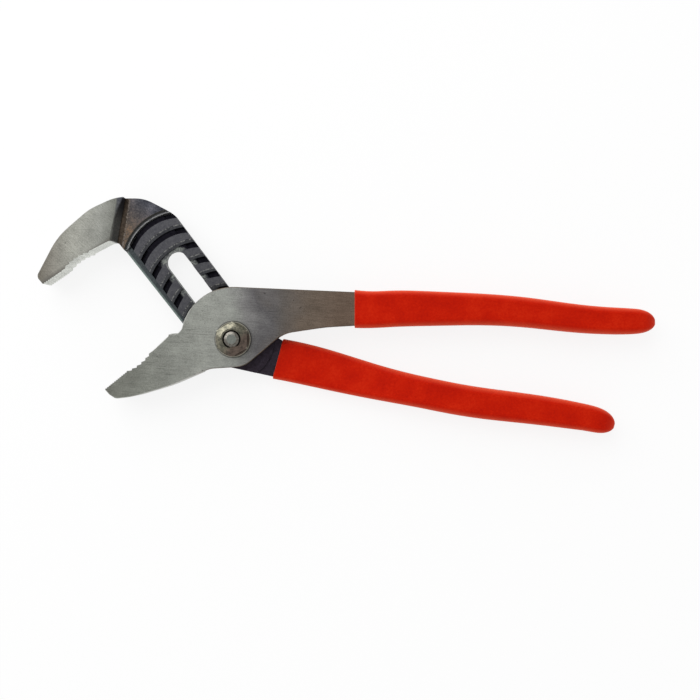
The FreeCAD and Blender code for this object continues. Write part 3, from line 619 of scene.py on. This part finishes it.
# ---------------------------------------------------------------------------------------------
# Bolt, washer and nut
# ---------------------------------------------------------------------------------------------
def plated_steel():
    """Zinc-nickel plating on a turned nut and washer: cream grey, smooth, brown on one side."""
    material, tree, shader, place = new_material("plated_turned_steel", 1.0, 0.27)
    # scuffs and stains some 2 mm across
    scuffs = add(
        tree, "ShaderNodeTexNoise",
        {"Vector": place, "Scale": 0.5, "Detail": 5.0, "Roughness": 0.7},
    ).outputs["Fac"]
    clean = add(
        tree, "ShaderNodeValToRGB", {"Fac": scuffs},
        stops=[(0.36, colour("#56564d")), (0.60, colour("#8f8b7a"))],
    )
    stained = add(
        tree, "ShaderNodeValToRGB", {"Fac": scuffs},
        stops=[(0.34, colour("#4e4640")), (0.62, colour("#7c6d63"))],
    )
    parts = add(tree, "ShaderNodeSeparateXYZ", {"Vector": place})
    stained_side = add(
        tree, "ShaderNodeMath", {0: parts.outputs["X"], 1: parts.outputs["Y"]},
        operation="SUBTRACT",
    )
    ragged = add(
        tree, "ShaderNodeMath", {0: scuffs, 1: STAIN_STRAY, 2: stained_side.outputs[0]},
        operation="MULTIPLY_ADD",
    )
    radius = from_bolt(tree, place)
    staked_radius = drawn_in(tree, place, radius)
    # the brown stain runs down one side, the rim carries a painted highlight, and the bore's edge
    # is painted dark as the shadow in the gap round the bolt, except where the nut is staked to
    # the bolt
    stain, rim_highlight, bore_edge, off_stake = (
        add(
            tree, "ShaderNodeMapRange",
            {"Value": value, "From Min": first, "From Max": last, "To Min": 0.0, "To Max": 1.0},
        ).outputs[0]
        for value, first, last in (
            (ragged.outputs[0], 5.0, 10.0), (radius, 9.15, 9.35), (radius, 5.05, 4.8),
            (staked_radius, 2.55, 2.75),
        )
    )
    bore_shadow = add(tree, "ShaderNodeMath", {0: bore_edge, 1: off_stake}, operation="MULTIPLY")
    shade = layered(
        tree, clean.outputs["Color"],
        [
            (stain, stained.outputs["Color"]),
            (rim_highlight, colour("#b9b6a8")),
            (bore_shadow.outputs[0], colour("#141110")),
        ],
    )
    bump = add(
        tree, "ShaderNodeBump", {"Height": scuffs, "Strength": 0.5, "Distance": 0.0002}
    )
    tree.links.new(shade, shader.inputs["Base Color"])
    tree.links.new(bump.outputs[0], shader.inputs["Normal"])
    return material


def bolt_steel():
    """Bare turned bolt, its end faced flat and wiped with oil: cool grey, the thread's gap painted
    dark as shadow.
    """
    material, tree, shader, place = new_material("turned_bolt_steel", 1.0, 0.36)
    # tool marks and oil, drawn at 0.9 mm so that they show
    speckle = add(
        tree, "ShaderNodeTexNoise",
        {"Vector": place, "Scale": 1.1, "Detail": 4.0, "Roughness": 0.7},
    ).outputs["Fac"]
    parts = add(tree, "ShaderNodeSeparateXYZ", {"Vector": place})
    faced, bevelled, thread_shadow = (
        add(
            tree, "ShaderNodeValToRGB", {"Fac": speckle},
            stops=[(0.36, colour(dark)), (0.64, colour(light))],
        ).outputs["Color"]
        for dark, light in (("#7d827c", "#959891"), ("#5f5c55", "#96928a"), ("#151211", "#221d1b"))
    )
    radius = from_bolt(tree, place)
    staked_radius = drawn_in(tree, place, radius)
    # rings round the flat end, on the nut's side only: the bevel, and the gap round the thread
    # painted dark as shadow; the nut's metal is punched over the thread on one side, where no
    # shadow is painted
    bevel, thread, nut_side, off_stake = (
        add(
            tree, "ShaderNodeMapRange",
            {"Value": value, "From Min": first, "From Max": last, "To Min": 0.0, "To Max": 1.0},
        ).outputs[0]
        for value, first, last in (
            (radius, 2.5, 2.7), (radius, 3.9, 4.15),
            (parts.outputs["Z"], front_level, front_level + 0.5), (staked_radius, 2.15, 2.4),
        )
    )
    bevel, thread = (
        add(tree, "ShaderNodeMath", {0: ring, 1: nut_side}, operation="MULTIPLY").outputs[0]
        for ring in (bevel, thread)
    )
    open_thread_shadow = add(tree, "ShaderNodeMath", {0: thread, 1: off_stake}, operation="MULTIPLY")
    shade = layered(tree, faced, [(bevel, bevelled), (open_thread_shadow.outputs[0], thread_shadow)])
    bump = add(
        tree, "ShaderNodeBump", {"Height": speckle, "Strength": 0.3, "Distance": 0.0001}
    )
    tree.links.new(shade, shader.inputs["Base Color"])
    tree.links.new(bump.outputs[0], shader.inputs["Normal"])
    return material


# ---------------------------------------------------------------------------------------------
# Grips
# ---------------------------------------------------------------------------------------------
def dipped_vinyl():
    """Plastisol from a hot dip: an even orange red, satin, faintly waved by the draining skin."""
    material, tree, shader, place = new_material("dipped_vinyl", 0.0, 0.38)
    shader.inputs["IOR"].default_value = 1.5
    shader.inputs["Specular IOR Level"].default_value = 0.06
    # waves some 11 mm long
    waves = add(
        tree, "ShaderNodeTexNoise",
        {"Vector": place, "Scale": 0.09, "Detail": 3.0, "Roughness": 0.5},
    ).outputs["Fac"]
    # the skin's orange peel, some 1 mm across
    skin = add(
        tree, "ShaderNodeTexNoise",
        {"Vector": place, "Scale": 0.9, "Detail": 4.0, "Roughness": 0.65},
    ).outputs["Fac"]
    both = add(
        tree, "ShaderNodeMix", {"Factor": 0.5, 2: waves, 3: skin}, data_type="FLOAT"
    )
    shade = add(
        tree, "ShaderNodeValToRGB", {"Fac": both.outputs[0]},
        stops=[(0.36, colour("#b51402")), (0.51, colour("#c21a02")), (0.66, colour("#cd2508"))],
    )
    # the round sides are painted paler than the flats, as a painted sheen
    facing = add(tree, "ShaderNodeNewGeometry")
    normal = add(tree, "ShaderNodeSeparateXYZ", {"Vector": facing.outputs["Normal"]})
    upright = add(tree, "ShaderNodeMath", {0: normal.outputs["Z"]}, operation="ABSOLUTE")
    side_sheen = add(
        tree, "ShaderNodeMapRange",
        {"Value": upright.outputs[0], "From Min": 0.985, "From Max": 0.5,
         "To Min": 0.0, "To Max": 0.85},
    )
    shade = layered(tree, shade.outputs["Color"], [(side_sheen.outputs[0], colour("#df5638"))])
    rough = add(
        tree, "ShaderNodeMapRange",
        {"Value": skin, "From Min": 0.3, "From Max": 0.7, "To Min": 0.32, "To Max": 0.46},
    )
    broad = add(
        tree, "ShaderNodeBump", {"Height": waves, "Strength": 0.35, "Distance": 0.0006}
    )
    fine = add(
        tree, "ShaderNodeBump",
        {"Height": skin, "Strength": 0.45, "Distance": 0.00015, "Normal": broad.outputs[0]},
    )
    tree.links.new(shade, shader.inputs["Base Color"])
    tree.links.new(rough.outputs[0], shader.inputs["Roughness"])
    tree.links.new(fine.outputs[0], shader.inputs["Normal"])
    return material


def select_end(mesh, outward):
    """Selects only the faces that point one way along the handle, and goes into edit mode."""
    bpy.ops.mesh.select_all(action="DESELECT")
    bpy.ops.mesh.select_mode(type="FACE")
    bpy.ops.object.mode_set(mode="OBJECT")
    for face in mesh.polygons:
        face.select = face.normal.dot(outward) > PARALLEL
    bpy.ops.object.mode_set(mode="EDIT")


def grip_lip(name, mouth, turn, half_width, half_thickness, level, material):
    """The soft rolled edge where the vinyl ends round the handle, as a ring at the grip's mouth.

    The mouth's middle, the half measures and the level are in millimetres.
    """
    length, skin, roll = (measure * MM for measure in (LIP_LENGTH, LIP_SKIN, LIP_ROLL))
    outward = Vector((-math.cos(turn), -math.sin(turn), 0.0))
    centre = Vector((*mouth, level)) * MM + outward * length / 2

    bpy.ops.object.select_all(action="DESELECT")
    bpy.ops.mesh.primitive_cube_add(
        size=1.0, location=centre, rotation=(0.0, 0.0, turn),
        scale=(length, 2 * half_width * MM, 2 * half_thickness * MM),
    )
    lip = bpy.context.object
    lip.name = name
    bpy.ops.object.transform_apply(location=True, rotation=True, scale=True)
    mesh = lip.data

    # the section's round corners, along the handle
    bpy.ops.object.mode_set(mode="EDIT")
    bpy.ops.mesh.select_all(action="DESELECT")
    bpy.ops.mesh.select_mode(type="EDGE")
    bpy.ops.object.mode_set(mode="OBJECT")
    for edge in mesh.edges:
        start, end = (mesh.vertices[index].co for index in edge.vertices)
        edge.select = abs((end - start).normalized().dot(outward)) > PARALLEL
    bpy.ops.object.mode_set(mode="EDIT")
    bpy.ops.mesh.bevel(offset=CORNER_SHARE * half_thickness * MM, segments=10)

    # the rolled outer edge
    select_end(mesh, outward)
    bpy.ops.mesh.region_to_loop()
    bpy.ops.mesh.bevel(offset=roll, segments=5)

    # the hole for the handle: each end is inset, and its many-sided middle is taken out
    for way, margin in ((outward, skin - roll), (-outward, skin)):
        select_end(mesh, way)
        bpy.ops.mesh.inset(thickness=margin)
        bpy.ops.object.mode_set(mode="OBJECT")
        for face in mesh.polygons:
            face.select = face.select and len(face.vertices) > QUAD_SIDES
        bpy.ops.object.mode_set(mode="EDIT")
        bpy.ops.mesh.delete(type="ONLY_FACE")
    bpy.ops.mesh.select_mode(type="EDGE")
    bpy.ops.mesh.select_all(action="DESELECT")
    bpy.ops.mesh.select_non_manifold()
    bpy.ops.mesh.bridge_edge_loops()
    bpy.ops.mesh.select_all(action="SELECT")
    bpy.ops.mesh.normals_make_consistent(inside=False)
    bpy.ops.object.mode_set(mode="OBJECT")
    bpy.ops.object.shade_smooth_by_angle(angle=math.radians(50))
    mesh.materials.append(material)
    return lip


# ---------------------------------------------------------------------------------------------
# Floor, light and camera
# ---------------------------------------------------------------------------------------------
def make_floor():
    """A plain white sheet that keeps a soft shadow."""
    bpy.ops.object.select_all(action="DESELECT")
    bpy.ops.mesh.primitive_plane_add(
        size=SHEET_WIDTH, location=(0, 0, cad_box[0].z - SHEET_GAP)
    )
    floor = bpy.context.object
    floor.name = "floor"
    material = bpy.data.materials.new("white_paper")
    material.use_nodes = True
    tree = material.node_tree
    tree.nodes.clear()
    # the sheet as it lights the pliers, and the brighter one that is seen, also in the metal
    paper = add(tree, "ShaderNodeBsdfDiffuse", {"Color": colour("#f4f4f4")})
    shaded = add(tree, "ShaderNodeBsdfDiffuse", {"Color": colour("#717171")})
    glow = add(tree, "ShaderNodeEmission", {"Color": (1, 1, 1, 1), "Strength": SHEET_GLOW})
    lit = add(tree, "ShaderNodeAddShader", {0: shaded.outputs[0], 1: glow.outputs[0]})
    path = add(tree, "ShaderNodeLightPath")
    direct = add(
        tree, "ShaderNodeMath",
        {0: path.outputs["Is Camera Ray"], 1: path.outputs["Is Glossy Ray"]}, operation="MAXIMUM",
    )
    seen = add(
        tree, "ShaderNodeMath",
        {0: direct.outputs[0], 1: path.outputs["Is Transmission Ray"]}, operation="MAXIMUM",
    )
    mixed = add(
        tree, "ShaderNodeMixShader", {0: seen.outputs[0], 1: paper.outputs[0], 2: lit.outputs[0]}
    )
    add(tree, "ShaderNodeOutputMaterial", {"Surface": mixed.outputs[0]})
    floor.data.materials.append(material)


def make_lights():
    """White walls under a dimmer ceiling, and one large soft box high behind to the left."""
    world = bpy.data.worlds.new("studio")
    world.use_nodes = True
    tree = world.node_tree
    tree.nodes.clear()
    direction = add(tree, "ShaderNodeTexCoord")
    parts = add(tree, "ShaderNodeSeparateXYZ", {"Vector": direction.outputs["Generated"]})
    lowness = add(
        tree, "ShaderNodeMath", {0: 1.1, 1: parts.outputs["Z"]}, operation="SUBTRACT",
        use_clamp=True,
    )
    squared = add(tree, "ShaderNodeMath", {0: lowness.outputs[0], 1: 2.0}, operation="POWER")
    level = add(
        tree, "ShaderNodeMath", {0: squared.outputs[0], 1: WALLS - CEILING, 2: CEILING},
        operation="MULTIPLY_ADD",
    )
    room = add(
        tree, "ShaderNodeBackground", {"Color": (1, 1, 1, 1), "Strength": level.outputs[0]}
    )
    add(tree, "ShaderNodeOutputWorld", {"Surface": room.outputs[0]})
    bpy.context.scene.world = world

    lamp = bpy.data.lights.new("key_softbox", "AREA")
    lamp.shape = "SQUARE"
    lamp.size = KEY_WIDTH
    lamp.energy = KEY_POWER
    holder = bpy.data.objects.new("key_softbox", lamp)
    holder.location = KEY_PLACE
    holder.rotation_mode = "QUATERNION"
    holder.rotation_quaternion = (KEY_AIM - KEY_PLACE).to_track_quat("-Z", "Y")
    bpy.context.scene.collection.objects.link(holder)


def make_camera():
    """Straight above the pliers, as if they lie on a copy stand."""
    camera = bpy.data.cameras.new("camera")
    camera.sensor_width = 36.0
    camera.lens = camera.sensor_width / 2 * CAMERA_HEIGHT / HALF_VIEW
    holder = bpy.data.objects.new("camera", camera)
    holder.location = (*CAMERA_OVER, front_level * MM + CAMERA_HEIGHT)
    bpy.context.scene.collection.objects.link(holder)
    bpy.context.scene.camera = holder


# ---------------------------------------------------------------------------------------------
# The scene
# ---------------------------------------------------------------------------------------------
assign("fixed_jaw_lever", fixed_lever_steel())
assign("slotted_jaw_lever", slotted_lever_steel())
assign("pivot_bolt", bolt_steel())
plating = plated_steel()
vinyl = dipped_vinyl()
for node_name, material in (
    ("washer", plating), ("lock_nut", plating), ("upper_grip", vinyl), ("lower_grip", vinyl),
):
    assign(node_name, material)

# each grip's mouth: its middle, its turn, half its width, half its thickness and its level
upper_lip = grip_lip("upper_grip_lip", (66.8, 16.7), 0.0, 10.4, 4.35, middle_level + 3.15, vinyl)
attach(upper_lip, "fixed_lever")
lower_lip = grip_lip(
    "lower_grip_lip", (24.2, -10.8), math.radians(-15), 11.5, 3.7, middle_level - 3.8, vinyl
)
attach(lower_lip, "slotted_lever")

make_floor()
make_lights()
make_camera()
bpy.context.scene.view_settings.view_transform = "Standard"
